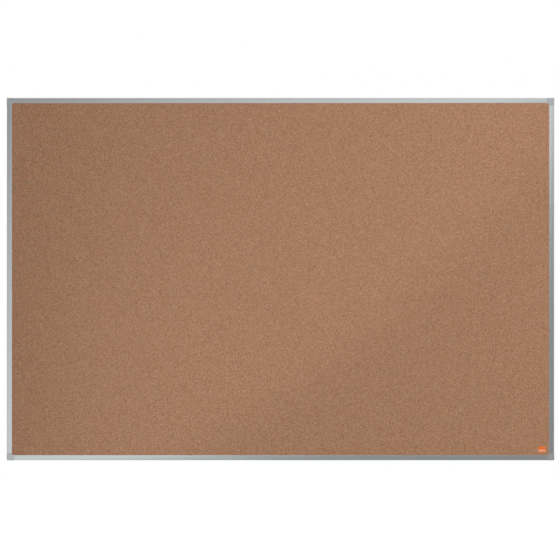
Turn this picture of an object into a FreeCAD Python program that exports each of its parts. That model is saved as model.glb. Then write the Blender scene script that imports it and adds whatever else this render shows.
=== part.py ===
"""Cork bulletin board in an aluminium frame, screwed to a wall through its four corners.

Millimetres. +Z is up, the board faces -Y, and the plane y = 0 is the wall that it hangs on.
The origin is the centre of the four wall-screw holes, on that plane.

The frame is drawn once for each kind of piece and turned to its place:
  u  runs inward from one outer side of the board
  v  runs inward from the next outer side
  d  is the depth, counted from the wall towards the front, so y = -d
"""
import FreeCAD
import Part
import math
import os

Vector = FreeCAD.Vector

# Overall size, across the outer faces of the rails
BOARD_WIDTH = 1511.0
BOARD_HEIGHT = 1000.0
BOARD_DEPTH = 13.0

# Extruded aluminium rail
FACE_WIDTH = 14.2
OUTER_WALL = 1.2
CHAMBER_WIDTH = 8.0
WEB = 1.1
BACK_FLANGE = 1.2
SCREW_CHANNEL_DEPTH = 2.0
CHAMBER_FLOOR = 1.1
CHAMBER_TOP = 11.6
LIP_UNDERSIDE = 11.7
FRONT_EDGE_RADIUS = 2.0
BACK_EDGE_RADIUS = 0.4
LIP_EDGE_RADIUS = 0.4
CROWN_START = 6.5
CROWN_DROP = 0.4
CROWN_RADIUS = 130.0
RAIL_END_GAP = 0.1

# Panel, held in the groove between the rail's back flange and its front lip
CORK_THICKNESS = 2.0
CORE_THICKNESS = 8.0
BACKING_THICKNESS = 0.4
PANEL_EDGE_GAP = 0.2
PANEL_CORNER_CLIP = 5.0

# Corner bracket and cap
CORNER_SIZE = 20.0
CORNER_PROUD = 0.3
CORNER_RADIUS = 2.4
INNER_FILLET = 5.0
GUSSET_GAP = 0.3
SPLIT_DEPTH = 6.5
SEAM = 0.2
BRACKET_EDGE_RADIUS = 0.4
MOUTH_CHAMFER = 0.4
CAP_FRONT = 13.2
CAP_WALL = 1.2
CAP_EDGE_RADIUS = 2.0
CAP_INNER_EDGE_RADIUS = 0.5
CAP_CLEARANCE = 0.3
NOTCH_WIDTH = 6.0
NOTCH_HEIGHT = 0.9
NOTCH_CENTRE = 10.0

# Push-fit pegs under the cap and their sockets in the bracket
PEG_RADIUS = 1.5
PEG_LENGTH = 5.2
PEG_CHAMFER = 0.4
SOCKET_RADIUS = 1.65
SOCKET_DEPTH = 6.0
SOCKET_ALONG = 16.0
SOCKET_ACROSS = 5.3

# Wall-screw hole and the pocket that its head sits in
WALL_HOLE_INSET = 7.5
WALL_HOLE_RADIUS = 2.3
WALL_HOLE_LENGTH = 4.0
HEAD_POCKET_RADIUS = 4.3

# Spigots of the bracket, in the rails' chambers
SPIGOT_LENGTH = 32.0
SPIGOT_ROOT = 1.0
SPIGOT_GAP = 0.15
SPIGOT_CHAMFER = 1.0
SPIGOT_CORE_START = 36.0
SPIGOT_CORE_WALL = 2.0
BACK_RECESS_START = 13.5

# Self-tapping screws that pin the spigots
SCREW_ALONG = 30.0
SCREW_HOLE_RADIUS = 1.6
PILOT_RADIUS = 1.1
HEAD_RADIUS = 2.8
HEAD_HEIGHT = 1.6
HEAD_RIM = 0.7
HEAD_SHOULDER = 2.1
HEAD_SHOULDER_DROP = 0.3
SHANK_END = 10.3
THREAD_MAJOR_RADIUS = 1.45
THREAD_MINOR_RADIUS = 1.05
THREAD_PITCH = 1.1
THREAD_TURNS = 5
RECESS_LENGTH = 3.2
RECESS_WIDTH = 0.7
RECESS_DEPTH = 0.9

# Sticker on the cork, low on the right
LABEL_WIDTH = 19.8
LABEL_HEIGHT = 16.2
LABEL_THICKNESS = 0.2
LABEL_CORNER_RADIUS = 2.0
LABEL_FROM_RIGHT = 33.9
LABEL_FROM_BOTTOM = 29.6

# Places worked out from the sizes above
CHAMBER_INNER = OUTER_WALL + CHAMBER_WIDTH
GROOVE_BOTTOM = CHAMBER_INNER + WEB
CHAMBER_BOTTOM = SCREW_CHANNEL_DEPTH + CHAMBER_FLOOR
CHAMBER_MIDDLE = OUTER_WALL + CHAMBER_WIDTH / 2
PANEL_THICKNESS = CORK_THICKNESS + CORE_THICKNESS + BACKING_THICKNESS
PANEL_BACK = (BACK_FLANGE + LIP_UNDERSIDE - PANEL_THICKNESS) / 2
CORE_BACK = PANEL_BACK + BACKING_THICKNESS
CORK_BACK = CORE_BACK + CORE_THICKNESS
CORK_FRONT = CORK_BACK + CORK_THICKNESS
PANEL_INSET = GROOVE_BOTTOM + PANEL_EDGE_GAP

# How near two lengths, or an edge and a depth, have to be to count as the same
SMALL = 1e-6
TOUCHING = 1e-4


# ---- Drawing helpers ---------------------------------------------------------------------------


def face_point(u, v):
    """A point of an outline drawn on the wall plane."""
    return Vector(u, 0, v)


def section_point(u, d):
    """A point of a rail's cross-section: u runs up from the rail's outer face, d to the front."""
    return Vector(0, -d, u)


def rounded_face(corners, to_point):
    """A flat face from (a, b, radius) corners, joined by straight lines and tangent arcs."""
    starts, middles, ends = [], [], []
    count = len(corners)
    for i, (a, b, radius) in enumerate(corners):
        here = to_point(a, b)
        to_last = to_point(*corners[i - 1][:2]) - here
        to_next = to_point(*corners[(i + 1) % count][:2]) - here
        to_last.normalize()
        to_next.normalize()
        half_angle = to_last.getAngle(to_next) / 2
        trim = radius / math.tan(half_angle)
        bisector = to_last + to_next
        bisector.normalize()
        starts.append(here + to_last * trim)
        ends.append(here + to_next * trim)
        middles.append(here + bisector * (radius / math.sin(half_angle) - radius))
    edges = []
    for i in range(count):
        if corners[i][2] > 0:
            edges.append(Part.Arc(starts[i], middles[i], ends[i]).toShape())
        after = starts[(i + 1) % count]
        if (after - ends[i]).Length > SMALL:
            edges.append(Part.LineSegment(ends[i], after).toShape())
    return Part.Face(Part.Wire(edges))


def prism(corners, d0, d1):
    """A rounded outline on the wall plane, made solid between two depths."""
    face = rounded_face(corners, face_point)
    face.translate(Vector(0, -d0, 0))
    return face.extrude(Vector(0, d0 - d1, 0))


def block(u0, u1, v0, v1, d0, d1):
    """A box between two places along each of u, v and d."""
    return Part.makeBox(u1 - u0, d1 - d0, v1 - v0, Vector(u0, -d1, v0))


def rod(radius, u, v, d0, d1):
    """A cylinder along the depth."""
    return Part.makeCylinder(radius, d1 - d0, Vector(u, -d0, v), Vector(0, -1, 0))


def flared_hole(radius, u, v, d0, d1):
    """The tool for a hole open to the front at d1, with a small chamfer round its mouth."""
    start = Vector(u, MOUTH_CHAMFER - d1, v)
    flare = Part.makeCone(radius, radius + MOUTH_CHAMFER, MOUTH_CHAMFER, start, Vector(0, -1, 0))
    return rod(radius, u, v, d0, d1).fuse(flare)


def edges_at_depth(shape, d):
    """The edges of a shape that lie flat at one depth."""
    return [
        edge
        for edge in shape.Edges
        if abs(edge.BoundBox.YMin + d) < TOUCHING and abs(edge.BoundBox.YMax + d) < TOUCHING
    ]


def both_arms(shapes):
    """Shapes drawn along u, and their mirror images along v."""
    mirrored = [shape.mirror(Vector(0, 0, 0), Vector(1, 0, -1)) for shape in shapes]
    return list(shapes) + mirrored


def turned(shape, quarter_turns, x, z):
    """A piece turned about the depth axis and moved to its place on the board."""
    placed = shape.copy()
    placed.rotate(Vector(0, 0, 0), Vector(0, 1, 0), 90 * quarter_turns)
    placed.translate(Vector(x, 0, z))
    return placed


def write_step(name, shape):
    shape.exportStep(os.path.join("parts", name + ".step"))


# ---- Panel -------------------------------------------------------------------------------------


def panel_layer(d0, d1):
    """One layer of the panel. Its corners are clipped, clear of the brackets' screw pockets."""
    x = BOARD_WIDTH / 2 - PANEL_INSET
    z = BOARD_HEIGHT / 2 - PANEL_INSET
    clip = PANEL_CORNER_CLIP
    corners = [
        (x - clip, -z, 0),
        (x, -z + clip, 0),
        (x, z - clip, 0),
        (x - clip, z, 0),
        (-x + clip, z, 0),
        (-x, z - clip, 0),
        (-x, -z + clip, 0),
        (-x + clip, -z, 0),
    ]
    return prism(corners, d0, d1)


def label():
    """A plain sticker on the face of the cork."""
    x = BOARD_WIDTH / 2 - LABEL_FROM_RIGHT
    z = LABEL_FROM_BOTTOM - BOARD_HEIGHT / 2
    half_width = LABEL_WIDTH / 2
    half_height = LABEL_HEIGHT / 2
    corners = [
        (x - half_width, z - half_height, LABEL_CORNER_RADIUS),
        (x + half_width, z - half_height, LABEL_CORNER_RADIUS),
        (x + half_width, z + half_height, LABEL_CORNER_RADIUS),
        (x - half_width, z + half_height, LABEL_CORNER_RADIUS),
    ]
    return prism(corners, CORK_FRONT, CORK_FRONT + LABEL_THICKNESS)


# ---- Rails -------------------------------------------------------------------------------------


def rail(side_length):
    """An extruded rail centred on the origin, its outer face down, with its two screw holes."""
    outline = [
        (0, 0, BACK_EDGE_RADIUS),
        (0, BOARD_DEPTH, FRONT_EDGE_RADIUS),
        (CROWN_START, BOARD_DEPTH, CROWN_RADIUS),
        (FACE_WIDTH, BOARD_DEPTH - CROWN_DROP, LIP_EDGE_RADIUS),
        (FACE_WIDTH, LIP_UNDERSIDE, 0),
        (GROOVE_BOTTOM, LIP_UNDERSIDE, 0),
        (GROOVE_BOTTOM, BACK_FLANGE, 0),
        (FACE_WIDTH, BACK_FLANGE, LIP_EDGE_RADIUS),
        (FACE_WIDTH, 0, LIP_EDGE_RADIUS),
        (CHAMBER_INNER, 0, 0),
        (CHAMBER_INNER, SCREW_CHANNEL_DEPTH, 0),
        (OUTER_WALL, SCREW_CHANNEL_DEPTH, 0),
        (OUTER_WALL, 0, 0),
    ]
    chamber = [
        (OUTER_WALL, CHAMBER_BOTTOM, 0),
        (OUTER_WALL, CHAMBER_TOP, 0),
        (CHAMBER_INNER, CHAMBER_TOP, 0),
        (CHAMBER_INNER, CHAMBER_BOTTOM, 0),
    ]
    section = rounded_face(outline, section_point).cut(rounded_face(chamber, section_point))
    length = side_length - 2 * (CORNER_SIZE + RAIL_END_GAP)
    section.translate(Vector(-length / 2, 0, 0))
    bar = section.extrude(Vector(length, 0, 0)).Solids[0]
    for end in (-1, 1):
        place = end * (side_length / 2 - SCREW_ALONG)
        hole = rod(SCREW_HOLE_RADIUS, place, CHAMBER_MIDDLE, SCREW_CHANNEL_DEPTH, CHAMBER_BOTTOM)
        bar = bar.cut(hole)
    return bar


# ---- Corner brackets ---------------------------------------------------------------------------


def bracket_outline(outer, outer_radius):
    """Two arms as deep as the rails' webs, filled between them up to the panel's clipped corner."""
    reach = 2 * PANEL_INSET + PANEL_CORNER_CLIP - GUSSET_GAP * math.sqrt(2) - GROOVE_BOTTOM
    return [
        (outer, outer, outer_radius),
        (CORNER_SIZE, outer, 0),
        (CORNER_SIZE, GROOVE_BOTTOM, 0),
        (reach, GROOVE_BOTTOM, 0),
        (GROOVE_BOTTOM, reach, 0),
        (GROOVE_BOTTOM, CORNER_SIZE, 0),
        (outer, CORNER_SIZE, 0),
    ]


def face_outline():
    """The L that a corner shows from the front and from the back, as wide as the rails' faces."""
    return [
        (-CORNER_PROUD, -CORNER_PROUD, CORNER_RADIUS),
        (CORNER_SIZE, -CORNER_PROUD, 0),
        (CORNER_SIZE, FACE_WIDTH, 0),
        (FACE_WIDTH, FACE_WIDTH, INNER_FILLET),
        (FACE_WIDTH, CORNER_SIZE, 0),
        (-CORNER_PROUD, CORNER_SIZE, 0),
    ]


def spigot():
    """The plug that goes into a rail's chamber, hollow at its tip, with a lead-in all round."""
    u_tip = CORNER_SIZE + SPIGOT_LENGTH
    v0 = OUTER_WALL + SPIGOT_GAP
    v1 = CHAMBER_INNER - SPIGOT_GAP
    d0 = CHAMBER_BOTTOM + SPIGOT_GAP
    d1 = CHAMBER_TOP - SPIGOT_GAP
    body = block(CORNER_SIZE - SPIGOT_ROOT, u_tip, v0, v1, d0, d1)
    tip_edges = [edge for edge in body.Edges if abs(edge.CenterOfMass.x - u_tip) < SMALL]
    body = body.makeChamfer(SPIGOT_CHAMFER, tip_edges)
    wall = SPIGOT_CORE_WALL
    hollow = block(SPIGOT_CORE_START, u_tip, v0 + wall, v1 - wall, d0 + wall, d1 - wall)
    pilot = rod(PILOT_RADIUS, SCREW_ALONG, CHAMBER_MIDDLE, d0, SHANK_END)
    return body.cut([hollow, pilot])


def bracket():
    """A moulded corner bracket, drawn for the corner where both u and v start."""
    top = LIP_UNDERSIDE - SEAM
    stepped_in = CAP_WALL - CORNER_PROUD + CAP_CLEARANCE
    lower = prism(bracket_outline(-CORNER_PROUD, CORNER_RADIUS), 0, SPLIT_DEPTH)
    upper = prism(bracket_outline(stepped_in, CORNER_RADIUS - CAP_WALL), SPLIT_DEPTH, top)
    upper = upper.makeFillet(BRACKET_EDGE_RADIUS, edges_at_depth(upper, top))
    flange = prism(face_outline(), 0, BACK_FLANGE)
    solid = lower.fuse([upper, flange] + both_arms([spigot()]))
    back_recess = block(
        BACK_RECESS_START, CORNER_SIZE, OUTER_WALL, CHAMBER_INNER, 0, SCREW_CHANNEL_DEPTH
    )
    socket = flared_hole(SOCKET_RADIUS, SOCKET_ALONG, SOCKET_ACROSS, top - SOCKET_DEPTH, top)
    inset = WALL_HOLE_INSET
    hole = rod(WALL_HOLE_RADIUS, inset, inset, 0, WALL_HOLE_LENGTH)
    pocket = flared_hole(HEAD_POCKET_RADIUS, inset, inset, WALL_HOLE_LENGTH, top)
    solid = solid.cut([hole, pocket] + both_arms([back_recess, socket]))
    return solid.removeSplitter().Solids[0]


# ---- Corner caps -------------------------------------------------------------------------------


def cap_face_edges(shape, outer):
    """The edges round a cap's face that don't meet a rail: its outer sides, or its inner L."""
    chosen = []
    for edge in edges_at_depth(shape, CAP_FRONT):
        middle = edge.valueAt((edge.FirstParameter + edge.LastParameter) / 2)
        meets_rail = max(middle.x, middle.z) > CORNER_SIZE - SMALL
        on_outer_side = min(middle.x, middle.z) < CAP_WALL
        if not meets_rail and on_outer_side == outer:
            chosen.append(edge)
    return chosen


def cap():
    """A moulded corner cap: an L plate with a skirt on its outer sides and two pegs."""
    lower_edge = SPLIT_DEPTH + SEAM
    shell = prism(face_outline(), lower_edge, CAP_FRONT)
    shell = shell.makeFillet(CAP_EDGE_RADIUS, cap_face_edges(shell, True))
    shell = shell.makeFillet(CAP_INNER_EDGE_RADIUS, cap_face_edges(shell, False))
    inside = CAP_WALL - CORNER_PROUD
    beyond = CORNER_SIZE + CAP_WALL
    room = prism(
        [
            (inside, inside, CORNER_RADIUS - CAP_WALL),
            (beyond, inside, 0),
            (beyond, beyond, 0),
            (inside, beyond, 0),
        ],
        SPLIT_DEPTH,
        LIP_UNDERSIDE,
    )
    notch = block(
        NOTCH_CENTRE - NOTCH_WIDTH / 2,
        NOTCH_CENTRE + NOTCH_WIDTH / 2,
        -CAP_WALL,
        inside,
        SPLIT_DEPTH,
        lower_edge + NOTCH_HEIGHT,
    )
    peg_end = LIP_UNDERSIDE - PEG_LENGTH
    peg = rod(PEG_RADIUS, SOCKET_ALONG, SOCKET_ACROSS, peg_end, LIP_UNDERSIDE)
    peg = peg.makeChamfer(PEG_CHAMFER, edges_at_depth(peg, peg_end))
    shell = shell.cut([room] + both_arms([notch]))
    return shell.fuse(both_arms([peg])).removeSplitter().Solids[0]


# ---- Screws ------------------------------------------------------------------------------------


def screw():
    """A pan-head self-tapping screw, its head in the channel at the back of a rail."""
    seat = SCREW_CHANNEL_DEPTH
    crown = seat - HEAD_HEIGHT
    rim = seat - HEAD_RIM

    def profile_point(r, d):
        return Vector(r, -d, 0)

    dome = Part.Arc(
        profile_point(0, crown),
        profile_point(HEAD_SHOULDER, crown + HEAD_SHOULDER_DROP),
        profile_point(HEAD_RADIUS, rim),
    )
    below_dome = [(HEAD_RADIUS, rim), (HEAD_RADIUS, seat), (THREAD_MINOR_RADIUS, seat)]
    thread_start = SHANK_END - (THREAD_TURNS + 1) * THREAD_PITCH
    for turn in range(THREAD_TURNS):
        root = thread_start + turn * THREAD_PITCH
        below_dome.append((THREAD_MINOR_RADIUS, root))
        below_dome.append((THREAD_MAJOR_RADIUS, root + THREAD_PITCH / 2))
    below_dome += [(THREAD_MINOR_RADIUS, SHANK_END - THREAD_PITCH), (0, SHANK_END), (0, crown)]
    outline = Part.makePolygon([profile_point(r, d) for r, d in below_dome])
    profile = Part.Face(Part.Wire([dome.toShape()] + outline.Edges))
    solid = profile.revolve(Vector(0, 0, 0), Vector(0, 1, 0), 360)
    half_length = RECESS_LENGTH / 2
    half_width = RECESS_WIDTH / 2
    recess_end = crown + RECESS_DEPTH
    slots = [
        block(-half_length, half_length, -half_width, half_width, 0, recess_end),
        block(-half_width, half_width, -half_length, half_length, 0, recess_end),
    ]
    return solid.cut(slots).Solids[0]


def corner_screws():
    """The two screws of one corner, one in each rail that meets there."""
    one = screw()
    one.translate(Vector(SCREW_ALONG, 0, CHAMBER_MIDDLE))
    return Part.makeCompound(both_arms([one]))


# ---- The whole board ---------------------------------------------------------------------------


def write_board():
    right = BOARD_WIDTH / 2
    top = BOARD_HEIGHT / 2
    corners = {
        "bottom_left": (0, -right, -top),
        "top_left": (1, -right, top),
        "top_right": (2, right, top),
        "bottom_right": (3, right, -top),
    }
    long_rail = rail(BOARD_WIDTH)
    short_rail = rail(BOARD_HEIGHT)
    rails = {
        "bottom_rail": (long_rail, 0, 0, -top),
        "left_rail": (short_rail, 1, -right, 0),
        "top_rail": (long_rail, 2, 0, top),
        "right_rail": (short_rail, 3, right, 0),
    }
    corner_pieces = {"bracket": bracket(), "cap": cap(), "screws": corner_screws()}

    write_step("paper_backing", panel_layer(PANEL_BACK, CORE_BACK))
    write_step("fibreboard_core", panel_layer(CORE_BACK, CORK_BACK))
    write_step("cork_sheet", panel_layer(CORK_BACK, CORK_FRONT))
    write_step("corner_label", label())
    for name, (shape, quarter_turns, x, z) in rails.items():
        write_step(name, turned(shape, quarter_turns, x, z))
    for place, (quarter_turns, x, z) in corners.items():
        for kind, shape in corner_pieces.items():
            write_step(place + "_" + kind, turned(shape, quarter_turns, x, z))


os.makedirs("parts", exist_ok=True)
write_board()
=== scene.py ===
import math

import bpy
from mathutils import Matrix, Vector


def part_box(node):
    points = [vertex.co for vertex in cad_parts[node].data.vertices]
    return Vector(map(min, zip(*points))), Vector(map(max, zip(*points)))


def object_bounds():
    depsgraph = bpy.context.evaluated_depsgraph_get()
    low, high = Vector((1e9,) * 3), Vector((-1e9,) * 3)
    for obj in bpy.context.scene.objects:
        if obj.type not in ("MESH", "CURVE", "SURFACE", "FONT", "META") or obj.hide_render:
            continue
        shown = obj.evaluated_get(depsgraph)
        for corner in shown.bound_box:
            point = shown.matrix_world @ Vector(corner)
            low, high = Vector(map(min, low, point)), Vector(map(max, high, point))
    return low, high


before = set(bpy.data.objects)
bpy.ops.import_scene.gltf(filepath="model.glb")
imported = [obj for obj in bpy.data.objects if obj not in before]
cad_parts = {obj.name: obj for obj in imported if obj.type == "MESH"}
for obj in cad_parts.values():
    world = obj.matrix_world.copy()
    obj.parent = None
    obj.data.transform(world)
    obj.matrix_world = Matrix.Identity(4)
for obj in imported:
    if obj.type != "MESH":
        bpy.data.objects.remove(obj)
cad_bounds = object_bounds()

# Lengths are in metres. The board faces -Y, +X is to the right and +Z is up.
MM = 0.001
LOW, HIGH = cad_bounds
CENTRE = (LOW + HIGH) / 2
FRONT = LOW.y
CORNERS = ("top_left", "top_right", "bottom_left", "bottom_right")

# Cork: the size of its granules, of the crumbs between them and of its dark flecks
GRANULE = 2.5 * MM
CRUMB = 1.25 * MM
FLECK = 1.0 * MM

# Cork: how far the granules' outlines wander, and how deep the relief of its surface is
WANDER = 2.2 * MM
CORK_RELIEF = 0.12 * MM

# Softboard and paper: the ways that their fibres lie, in degrees from the board's length
FIBRE_ANGLES = (8, 41, 77, 118, 154)

# Rails: how wide and how long a drawing line is, and how deep
LINE_WIDTH = 0.35 * MM
LINE_LENGTH = 400 * MM
LINE_DEPTH = 0.004 * MM

# Moulded corners: their faint mottle, and the fine grain that the mould leaves, with its depth
MOTTLE = 6 * MM
MOULD_GRAIN = 0.35 * MM
MOULD_GRAIN_DEPTH = 0.015 * MM

# Screws: the size of the clouds in their plating
ZINC_CLOUD = 1.2 * MM

# Sticker: how far its stripe's middle is from its lower edge, and how wide the stripe is
STRIPE_HEIGHT = 5.2 * MM
STRIPE_WIDTH = 4.6 * MM


# ---- Node helpers ------------------------------------------------------------------------------


def new_material(name):
    """An empty material, its node tree and its Principled shader."""
    material = bpy.data.materials.new(name)
    material.use_nodes = True
    tree = material.node_tree
    return material, tree, tree.nodes["Principled BSDF"]


def connect(tree, value, socket):
    """Links a socket to another socket, or gives it a plain value."""
    if isinstance(value, bpy.types.NodeSocket):
        tree.links.new(value, socket)
    else:
        socket.default_value = value


def add(tree, kind, inputs=None, **settings):
    """A new node with its settings and its inputs, which are values or sockets."""
    node = tree.nodes.new("ShaderNode" + kind)
    for key, value in settings.items():
        setattr(node, key, value)
    for key, value in (inputs or {}).items():
        connect(tree, value, node.inputs[key])
    return node


def grey(level):
    """A grey colour."""
    return (level, level, level, 1)


def ramp(tree, factor, stops):
    """A colour ramp with (position, colour) stops."""
    node = add(tree, "ValToRGB", {"Fac": factor})
    while len(node.color_ramp.elements) < len(stops):
        node.color_ramp.elements.new(0.5)
    for element, (position, colour) in zip(node.color_ramp.elements, stops):
        element.position = position
        element.color = colour
    return node.outputs["Color"]


def mix(tree, factor, a, b, blend="MIX"):
    """Two colours mixed."""
    inputs = {0: factor, 6: a, 7: b}
    return add(tree, "Mix", inputs, data_type="RGBA", blend_type=blend).outputs[2]


def maths(tree, operation, a, b=0.0):
    """The result of one step of arithmetic."""
    return add(tree, "Math", {0: a, 1: b}, operation=operation).outputs[0]


def step(tree, value, places, levels):
    """A smooth step between two levels."""
    inputs = {
        "Value": value,
        "From Min": places[0],
        "From Max": places[1],
        "To Min": levels[0],
        "To Max": levels[1],
    }
    return add(tree, "MapRange", inputs, interpolation_type="SMOOTHSTEP").outputs["Result"]


def place(tree, size=(1, 1, 1), angle=0.0):
    """The point on the object, counted in steps of a size along each axis.

    The axes are turned first, by an angle in the plane of the board.
    """
    point = add(tree, "TexCoord").outputs["Object"]
    inputs = {"Vector": point, "Rotation": (0, angle, 0), "Scale": size}
    return add(tree, "Mapping", inputs, vector_type="TEXTURE").outputs["Vector"]


def cells(tree, where, size, output="Color", feature="F1"):
    """Random cells of about that size: a colour for each, or the distance to its edge."""
    node = add(tree, "TexVoronoi", {"Vector": where, "Scale": 1 / size}, feature=feature)
    return node.outputs[output]


def cell_values(tree, where, size):
    """Three random values for each cell, on sockets called Red, Green and Blue."""
    return add(tree, "SeparateColor", {"Color": cells(tree, where, size)}).outputs


def noise(tree, where, size=1.0, detail=2.0):
    """Soft random clouds of about that size, from 0 to 1."""
    inputs = {"Vector": where, "Scale": 1 / size, "Detail": detail}
    return add(tree, "TexNoise", inputs).outputs["Fac"]


def ragged(tree, where, size, reach):
    """The same places pushed about at random by up to half the reach, for ragged outlines.

    The push changes from place to place in about the size.
    """
    inputs = {"Vector": where, "Scale": 1 / size, "Detail": 1.0}
    random_way = add(tree, "TexNoise", inputs).outputs["Color"]
    centred = {0: random_way, 1: (0.5, 0.5, 0.5)}
    push = add(tree, "VectorMath", centred, operation="SUBTRACT").outputs[0]
    scaled = add(tree, "VectorMath", {0: push, "Scale": reach}, operation="SCALE").outputs[0]
    return add(tree, "VectorMath", {0: where, 1: scaled}, operation="ADD").outputs[0]


def bump(tree, shader, height, distance):
    """Relief in the shader's surface: a height of 1 stands that distance proud."""
    node = add(tree, "Bump", {"Height": height, "Distance": distance})
    connect(tree, node.outputs["Normal"], shader.inputs["Normal"])


# ---- Materials ---------------------------------------------------------------------------------


def cork_material():
    """Agglomerated cork, ground and pressed: granules of many browns, dark flecks, and crevices
    darkened with painted shade.
    """
    material, tree, shader = new_material("pressed_cork")
    where = ragged(tree, place(tree), GRANULE, WANDER)
    granule = cell_values(tree, where, GRANULE)
    crumb = cell_values(tree, where, CRUMB)
    fleck = cell_values(tree, where, FLECK)
    browns = [
        (0.0, (0.21, 0.093, 0.045, 1)),
        (0.12, (0.322, 0.156, 0.081, 1)),
        (0.45, (0.415, 0.216, 0.119, 1)),
        (0.85, (0.473, 0.263, 0.156, 1)),
        (1.0, (0.555, 0.34, 0.221, 1)),
    ]
    granule_brown = ramp(tree, granule["Red"], browns)
    crumb_brown = ramp(tree, crumb["Red"], browns)
    colour = mix(tree, 0.5, granule_brown, crumb_brown)
    reddish = (1.08, 0.965, 0.9, 1)
    greenish = (0.92, 1.035, 1.1, 1)
    tint = ramp(tree, granule["Green"], [(0, reddish), (1, greenish)])
    colour = mix(tree, 1.0, colour, tint, "MULTIPLY")
    from_edge = cells(tree, where, GRANULE, "Distance", "DISTANCE_TO_EDGE")
    patchy = maths(tree, "MULTIPLY", noise(tree, where, 4 * MM), 0.12)
    depth = maths(tree, "ADD", from_edge, patchy)
    # Painted shade: the colour darkens towards each granule's outline, standing in for the shade
    # in the crevices between granules. The same values also sink the crevices in the bump below.
    crevice_shade_and_depth = ramp(tree, depth, [(0.04, grey(0.62)), (0.1, grey(1))])
    colour = mix(tree, 1.0, colour, crevice_shade_and_depth, "MULTIPLY")
    bark = ramp(tree, fleck["Red"], [(0.0, grey(1)), (0.022, grey(1)), (0.032, grey(0))])
    colour = mix(tree, bark, colour, (0.12, 0.055, 0.034, 1))
    connect(tree, colour, shader.inputs["Base Color"])
    shader.inputs["Roughness"].default_value = 0.85
    bump(tree, shader, maths(tree, "ADD", granule["Blue"], crevice_shade_and_depth), CORK_RELIEF)
    return material


def fibre_material(name, colour, length, width, contrast, relief):
    """Pressed fibres lying every way, with specks of bark: fine in paper, coarse in softboard."""
    material, tree, shader = new_material(name)
    fibres = 0.0
    for angle in FIBRE_ANGLES:
        strands = noise(tree, place(tree, (length, width, width), math.radians(angle)), detail=1.0)
        fibres = maths(tree, "MAXIMUM", fibres, strands)
    cloud_share = maths(tree, "MULTIPLY", noise(tree, place(tree), 1.5 * length, 4), 0.35)
    fibre_share = maths(tree, "MULTIPLY", fibres, 0.65)
    both = maths(tree, "ADD", cloud_share, fibre_share)
    tone = ramp(tree, both, [(0.5, grey(1 - contrast)), (0.66, grey(1 + contrast))])
    speck = cell_values(tree, ragged(tree, place(tree), width * 3, width * 3), width * 4)["Red"]
    dark = grey(1 - 2.5 * contrast)
    bark = ramp(tree, speck, [(0.0, dark), (0.008, dark), (0.016, grey(1))])
    toned = mix(tree, 1.0, (*colour, 1), tone, "MULTIPLY")
    connect(tree, mix(tree, 1.0, toned, bark, "MULTIPLY"), shader.inputs["Base Color"])
    shader.inputs["Roughness"].default_value = 0.85
    bump(tree, shader, fibres, relief)
    return material


def anodised_material(name, along):
    """Satin anodised extrusion, with faint drawing lines that run along the rail."""
    material, tree, shader = new_material(name)
    size = [LINE_WIDTH] * 3
    size["XYZ".index(along)] = LINE_LENGTH
    lines = noise(tree, place(tree, size), detail=3.0)
    colour = ramp(tree, lines, [(0.3, (0.7, 0.73, 0.74, 1)), (0.7, (0.77, 0.8, 0.81, 1))])
    connect(tree, colour, shader.inputs["Base Color"])
    shader.inputs["Metallic"].default_value = 1.0
    roughness = ramp(tree, lines, [(0.3, grey(0.32)), (0.7, grey(0.4))])
    connect(tree, roughness, shader.inputs["Roughness"])
    bump(tree, shader, lines, LINE_DEPTH)
    return material


def moulded_material(name, colour, roughness, metallic=0.0):
    """Moulded plastic with a fine spark-eroded texture and a faint mottle."""
    material, tree, shader = new_material(name)
    where = place(tree)
    shade = ramp(tree, noise(tree, where, MOTTLE, 3), [(0.35, grey(0.95)), (0.65, grey(1))])
    connect(tree, mix(tree, 1.0, (*colour, 1), shade, "MULTIPLY"), shader.inputs["Base Color"])
    shader.inputs["Roughness"].default_value = roughness
    shader.inputs["Metallic"].default_value = metallic
    bump(tree, shader, noise(tree, where, MOULD_GRAIN), MOULD_GRAIN_DEPTH)
    return material


def zinc_material():
    """Bright zinc plating, slightly cloudy."""
    material, tree, shader = new_material("zinc_plate")
    cloud = noise(tree, place(tree), ZINC_CLOUD, 3)
    colour = ramp(tree, cloud, [(0.3, (0.5, 0.51, 0.54, 1)), (0.7, (0.68, 0.69, 0.7, 1))])
    connect(tree, colour, shader.inputs["Base Color"])
    roughness = ramp(tree, cloud, [(0.3, grey(0.22)), (0.7, grey(0.36))])
    connect(tree, roughness, shader.inputs["Roughness"])
    shader.inputs["Metallic"].default_value = 1.0
    return material


def sticker_material():
    """Orange printed film with one plain pale stripe across its lower half."""
    material, tree, shader = new_material("orange_film")
    film = noise(tree, place(tree), 1.5 * MM)
    orange = ramp(tree, film, [(0.3, (0.88, 0.158, 0.022, 1)), (0.7, (0.93, 0.18, 0.027, 1))])
    height = add(tree, "SeparateXYZ", {"Vector": place(tree)}).outputs["Z"]
    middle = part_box("corner_label")[0].z + STRIPE_HEIGHT
    from_middle = maths(tree, "ABSOLUTE", maths(tree, "SUBTRACT", height, middle))
    stripe = maths(tree, "LESS_THAN", from_middle, STRIPE_WIDTH / 2)
    colour = mix(tree, stripe, orange, (0.8, 0.43, 0.3, 1))
    connect(tree, colour, shader.inputs["Base Color"])
    shader.inputs["Roughness"].default_value = 0.4
    return material


def dress(node, material):
    """Gives a CAD node its material."""
    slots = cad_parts[node].data.materials
    slots.clear()
    slots.append(material)


def dress_panel():
    """The cork, what is behind it, and the sticker on it."""
    softboard = fibre_material(
        "softboard",
        (0.28, 0.18, 0.105),
        length=6 * MM,
        width=0.6 * MM,
        contrast=0.25,
        relief=0.15 * MM,
    )
    kraft = fibre_material(
        "kraft_paper",
        (0.385, 0.28, 0.175),
        length=2.5 * MM,
        width=0.22 * MM,
        contrast=0.07,
        relief=0.02 * MM,
    )
    dress("cork_sheet", cork_material())
    dress("fibreboard_core", softboard)
    dress("paper_backing", kraft)
    dress("corner_label", sticker_material())


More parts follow.
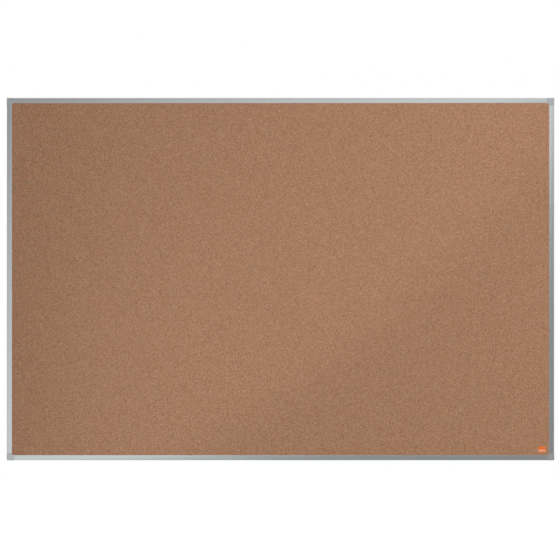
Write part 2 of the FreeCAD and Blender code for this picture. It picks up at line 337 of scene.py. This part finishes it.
def dress_frame():
    """The rails, and the cap, bracket and screws of each corner."""
    flat = anodised_material("anodised_across", "X")
    upright = anodised_material("anodised_upright", "Z")
    for side, material in (("top", flat), ("bottom", flat), ("left", upright), ("right", upright)):
        dress(side + "_rail", material)
    cap = moulded_material("cap_silver", (0.61, 0.63, 0.642), 0.5, metallic=0.85)
    bracket = moulded_material("bracket_grey", (0.3, 0.305, 0.31), 0.5)
    zinc = zinc_material()
    for corner in CORNERS:
        dress(corner + "_cap", cap)
        dress(corner + "_bracket", bracket)
        dress(corner + "_screws", zinc)


# ---- Studio ------------------------------------------------------------------------------------

# White surround: its light from the camera's side and from behind the board
LIGHT_FROM_FRONT = 0.25
LIGHT_FROM_BEHIND = 0.45

# White surround as the metal reflects it: straight ahead of the board, and around it at heights
# from 0, straight down, to 1, straight up
AHEAD_LEVEL = 0.25
AROUND_LEVELS = [(0, 0.32), (0.5, 0.57), (1, 0.67)]

# Square lamps that light the cork: the key is in front and to the right, and the fill is nearer,
# on the left, and shines across the board
LAMP_SIZE = (1.0, 1.0)
KEY_PLACE = (1.94, FRONT - 3.61, 0.36)
KEY_WATTS = 104.4
FILL_PLACE = (-0.55, FRONT - 0.94, -0.38)
FILL_WAY = (3.0, 0.94, -0.49)
FILL_WATTS = 3.06

# Overhead lamp, which lights the edges that face up and not the cork, and the lamp for the back
OVERHEAD_SIZE = (1.8, 0.01)
OVERHEAD_PLACE = (0, FRONT / 2, HIGH.z + 1.0)
OVERHEAD_WATTS = 10.0
BACK_SIZE = (1.2, 1.2)
BACK_PLACE = Vector((-1.5, 2.5, 1.8))
BACK_WATTS = 94.7

# The light's slanting edge rises to the right at this angle from level. SLANT turns what is level
# to lie along the edge, and what is upright to lie across it
SLANT_ANGLE = math.radians(37.7)
SLANT = Matrix.Rotation(-SLANT_ANGLE, 3, "Y")

# The pool of light that ends in that soft edge: its radius, how far past the board's middle it
# reaches, and its spot's distance, power, softness and size
POOL_RADIUS = 2.9
POOL_REACH = 0.36
POOL_DISTANCE = 5.0
POOL_WATTS = 148.0
POOL_BLEND = 0.095
POOL_LAMP_RADIUS = 0.02

# White cards for the metal to reflect: a slanting band, from CARD_START across to each card's end,
# with each card's brightness in watts per square metre
CARD_LENGTH = 3.4
CARD_START = -0.16
CARD_DISTANCE = 1.0
CARD_GAP = 0.02
CARDS = [(0.0, 1.344), (0.32, 0.502), (0.64, 0.502), (0.8, 0.502)]

# The card below the board's left half
LOW_CARD_SIZE = (1.5, 0.8)
LOW_CARD_PLACE = (-0.8, FRONT - 0.1, LOW.z - 0.6)
LOW_CARD_WATTS = 2.3

# Floor: how wide it is, and how far below the board
FLOOR_SIZE = 16.0
FLOOR_DROP = 0.4

# Camera: the width that it sees at the board's face, and where the picture's middle is
VIEW_WIDTH = 1.5455
VIEW_MIDDLE = (CENTRE.x - 1.4 * MM, CENTRE.z - 2.5 * MM)
LENS = 300
SENSOR = 36


def white_surround():
    """A white studio, darker on the camera's side of the board than behind it."""
    world = bpy.data.worlds.new("studio")
    bpy.context.scene.world = world
    world.use_nodes = True
    tree = world.node_tree
    tree.nodes.clear()
    direction = add(tree, "TexCoord").outputs["Generated"]
    way = add(tree, "SeparateXYZ", {"Vector": direction}).outputs
    rays = add(tree, "LightPath").outputs
    light = step(tree, way["Y"], (-0.25, 0.25), (LIGHT_FROM_FRONT, LIGHT_FROM_BEHIND))
    height = maths(tree, "ADD", maths(tree, "MULTIPLY", way["Z"], 0.5), 0.5)
    around = ramp(tree, height, [(at, grey(level)) for at, level in AROUND_LEVELS])
    reflection = step(tree, way["Y"], (-0.95, -0.82), (AHEAD_LEVEL, around))
    level = add(tree, "Mix", {0: rays["Is Glossy Ray"], 2: light, 3: reflection}).outputs[0]
    lighting = add(tree, "Background", {"Strength": level}).outputs[0]
    seen = add(tree, "Background", {"Strength": 1.0}).outputs[0]
    for background in (lighting, seen):
        background.node.inputs["Color"].default_value = grey(1)
    chosen = add(tree, "MixShader", {0: rays["Is Camera Ray"], 1: lighting, 2: seen}).outputs[0]
    add(tree, "OutputWorld", {"Surface": chosen})


def lamp(name, kind, position, watts, way=(0, 1, 0)):
    """A lamp that shines along a way. The camera doesn't see it."""
    data = bpy.data.lights.new(name, kind)
    data.energy = watts
    light = bpy.data.objects.new(name, data)
    bpy.context.scene.collection.objects.link(light)
    light.location = position
    light.rotation_euler = Vector(way).to_track_quat("-Z", "Y").to_euler()
    light.visible_camera = False
    return light


def soft_box(name, position, size, watts, way=(0, 1, 0)):
    """A rectangular lamp."""
    light = lamp(name, "AREA", position, watts, way)
    light.data.shape = "RECTANGLE"
    light.data.size, light.data.size_y = size
    return light


def lamps():
    """What lights the board. None of these lamps shows as a reflection in the rails."""
    key = soft_box("key", KEY_PLACE, LAMP_SIZE, KEY_WATTS)
    fill = soft_box("fill", FILL_PLACE, LAMP_SIZE, FILL_WATTS, FILL_WAY)
    middle = SLANT @ Vector((0, 0, POOL_RADIUS - POOL_REACH))
    pool = lamp("pool", "SPOT", (middle.x, FRONT - POOL_DISTANCE, middle.z), POOL_WATTS)
    pool.data.spot_size = 2 * math.atan2(POOL_RADIUS, POOL_DISTANCE)
    pool.data.spot_blend = POOL_BLEND
    pool.data.shadow_soft_size = POOL_LAMP_RADIUS
    overhead = soft_box("overhead", OVERHEAD_PLACE, OVERHEAD_SIZE, OVERHEAD_WATTS, (0, 0, -1))
    back = soft_box("back", BACK_PLACE, BACK_SIZE, BACK_WATTS, CENTRE - BACK_PLACE)
    for light in (key, fill, pool, overhead, back):
        light.visible_glossy = False


def cards():
    """White cards that only the reflections show: bright across the board, fading to the top left.

    They overlap, each a little behind the last, so that their light adds up.
    """
    for number, (end, watts) in enumerate(CARDS):
        width = end - CARD_START
        middle = SLANT @ Vector((0, 0, (CARD_START + end) / 2))
        position = (middle.x, FRONT - CARD_DISTANCE - number * CARD_GAP, middle.z)
        size = (CARD_LENGTH, width)
        card = soft_box("card_%d" % number, position, size, watts * CARD_LENGTH * width)
        card.rotation_euler.y = -SLANT_ANGLE
        card.visible_diffuse = False


def low_card():
    """A card below the board's left half, for the bottom rail's lower edge to reflect."""
    card = soft_box("low_card", LOW_CARD_PLACE, LOW_CARD_SIZE, LOW_CARD_WATTS, (0, 0, 1))
    card.visible_diffuse = False


def floor():
    """A pale floor below the board. Only the camera sees it, and only from above."""
    mesh = bpy.data.meshes.new("floor")
    half = FLOOR_SIZE / 2
    z = LOW.z - FLOOR_DROP
    corners = [(-half, -half, z), (half, -half, z), (half, half, z), (-half, half, z)]
    mesh.from_pydata(corners, [], [(0, 1, 2, 3)])
    plane = bpy.data.objects.new("floor", mesh)
    bpy.context.scene.collection.objects.link(plane)
    material, tree, shader = new_material("pale_floor")
    shader.inputs["Base Color"].default_value = grey(0.9)
    shader.inputs["Roughness"].default_value = 0.9
    shader.inputs["Emission Color"].default_value = grey(1)
    shader.inputs["Emission Strength"].default_value = 0.8
    underside = add(tree, "NewGeometry").outputs["Backfacing"]
    clear = add(tree, "BsdfTransparent").outputs[0]
    surface = add(tree, "MixShader", {0: underside, 1: shader.outputs[0], 2: clear}).outputs[0]
    connect(tree, surface, tree.nodes["Material Output"].inputs["Surface"])
    mesh.materials.append(material)
    plane.visible_diffuse = False
    plane.visible_glossy = False
    plane.visible_shadow = False


def camera():
    """A long lens, square on to the board."""
    data = bpy.data.cameras.new("camera")
    data.lens = LENS
    data.sensor_width = SENSOR
    data.clip_end = 60
    eye = bpy.data.objects.new("camera", data)
    bpy.context.scene.collection.objects.link(eye)
    distance = VIEW_WIDTH * LENS / SENSOR
    eye.location = (VIEW_MIDDLE[0], FRONT - distance, VIEW_MIDDLE[1])
    eye.rotation_euler = (math.pi / 2, 0, 0)
    bpy.context.scene.camera = eye


dress_panel()
dress_frame()
white_surround()
lamps()
cards()
low_card()
floor()
camera()
bpy.context.scene.view_settings.view_transform = "Standard"
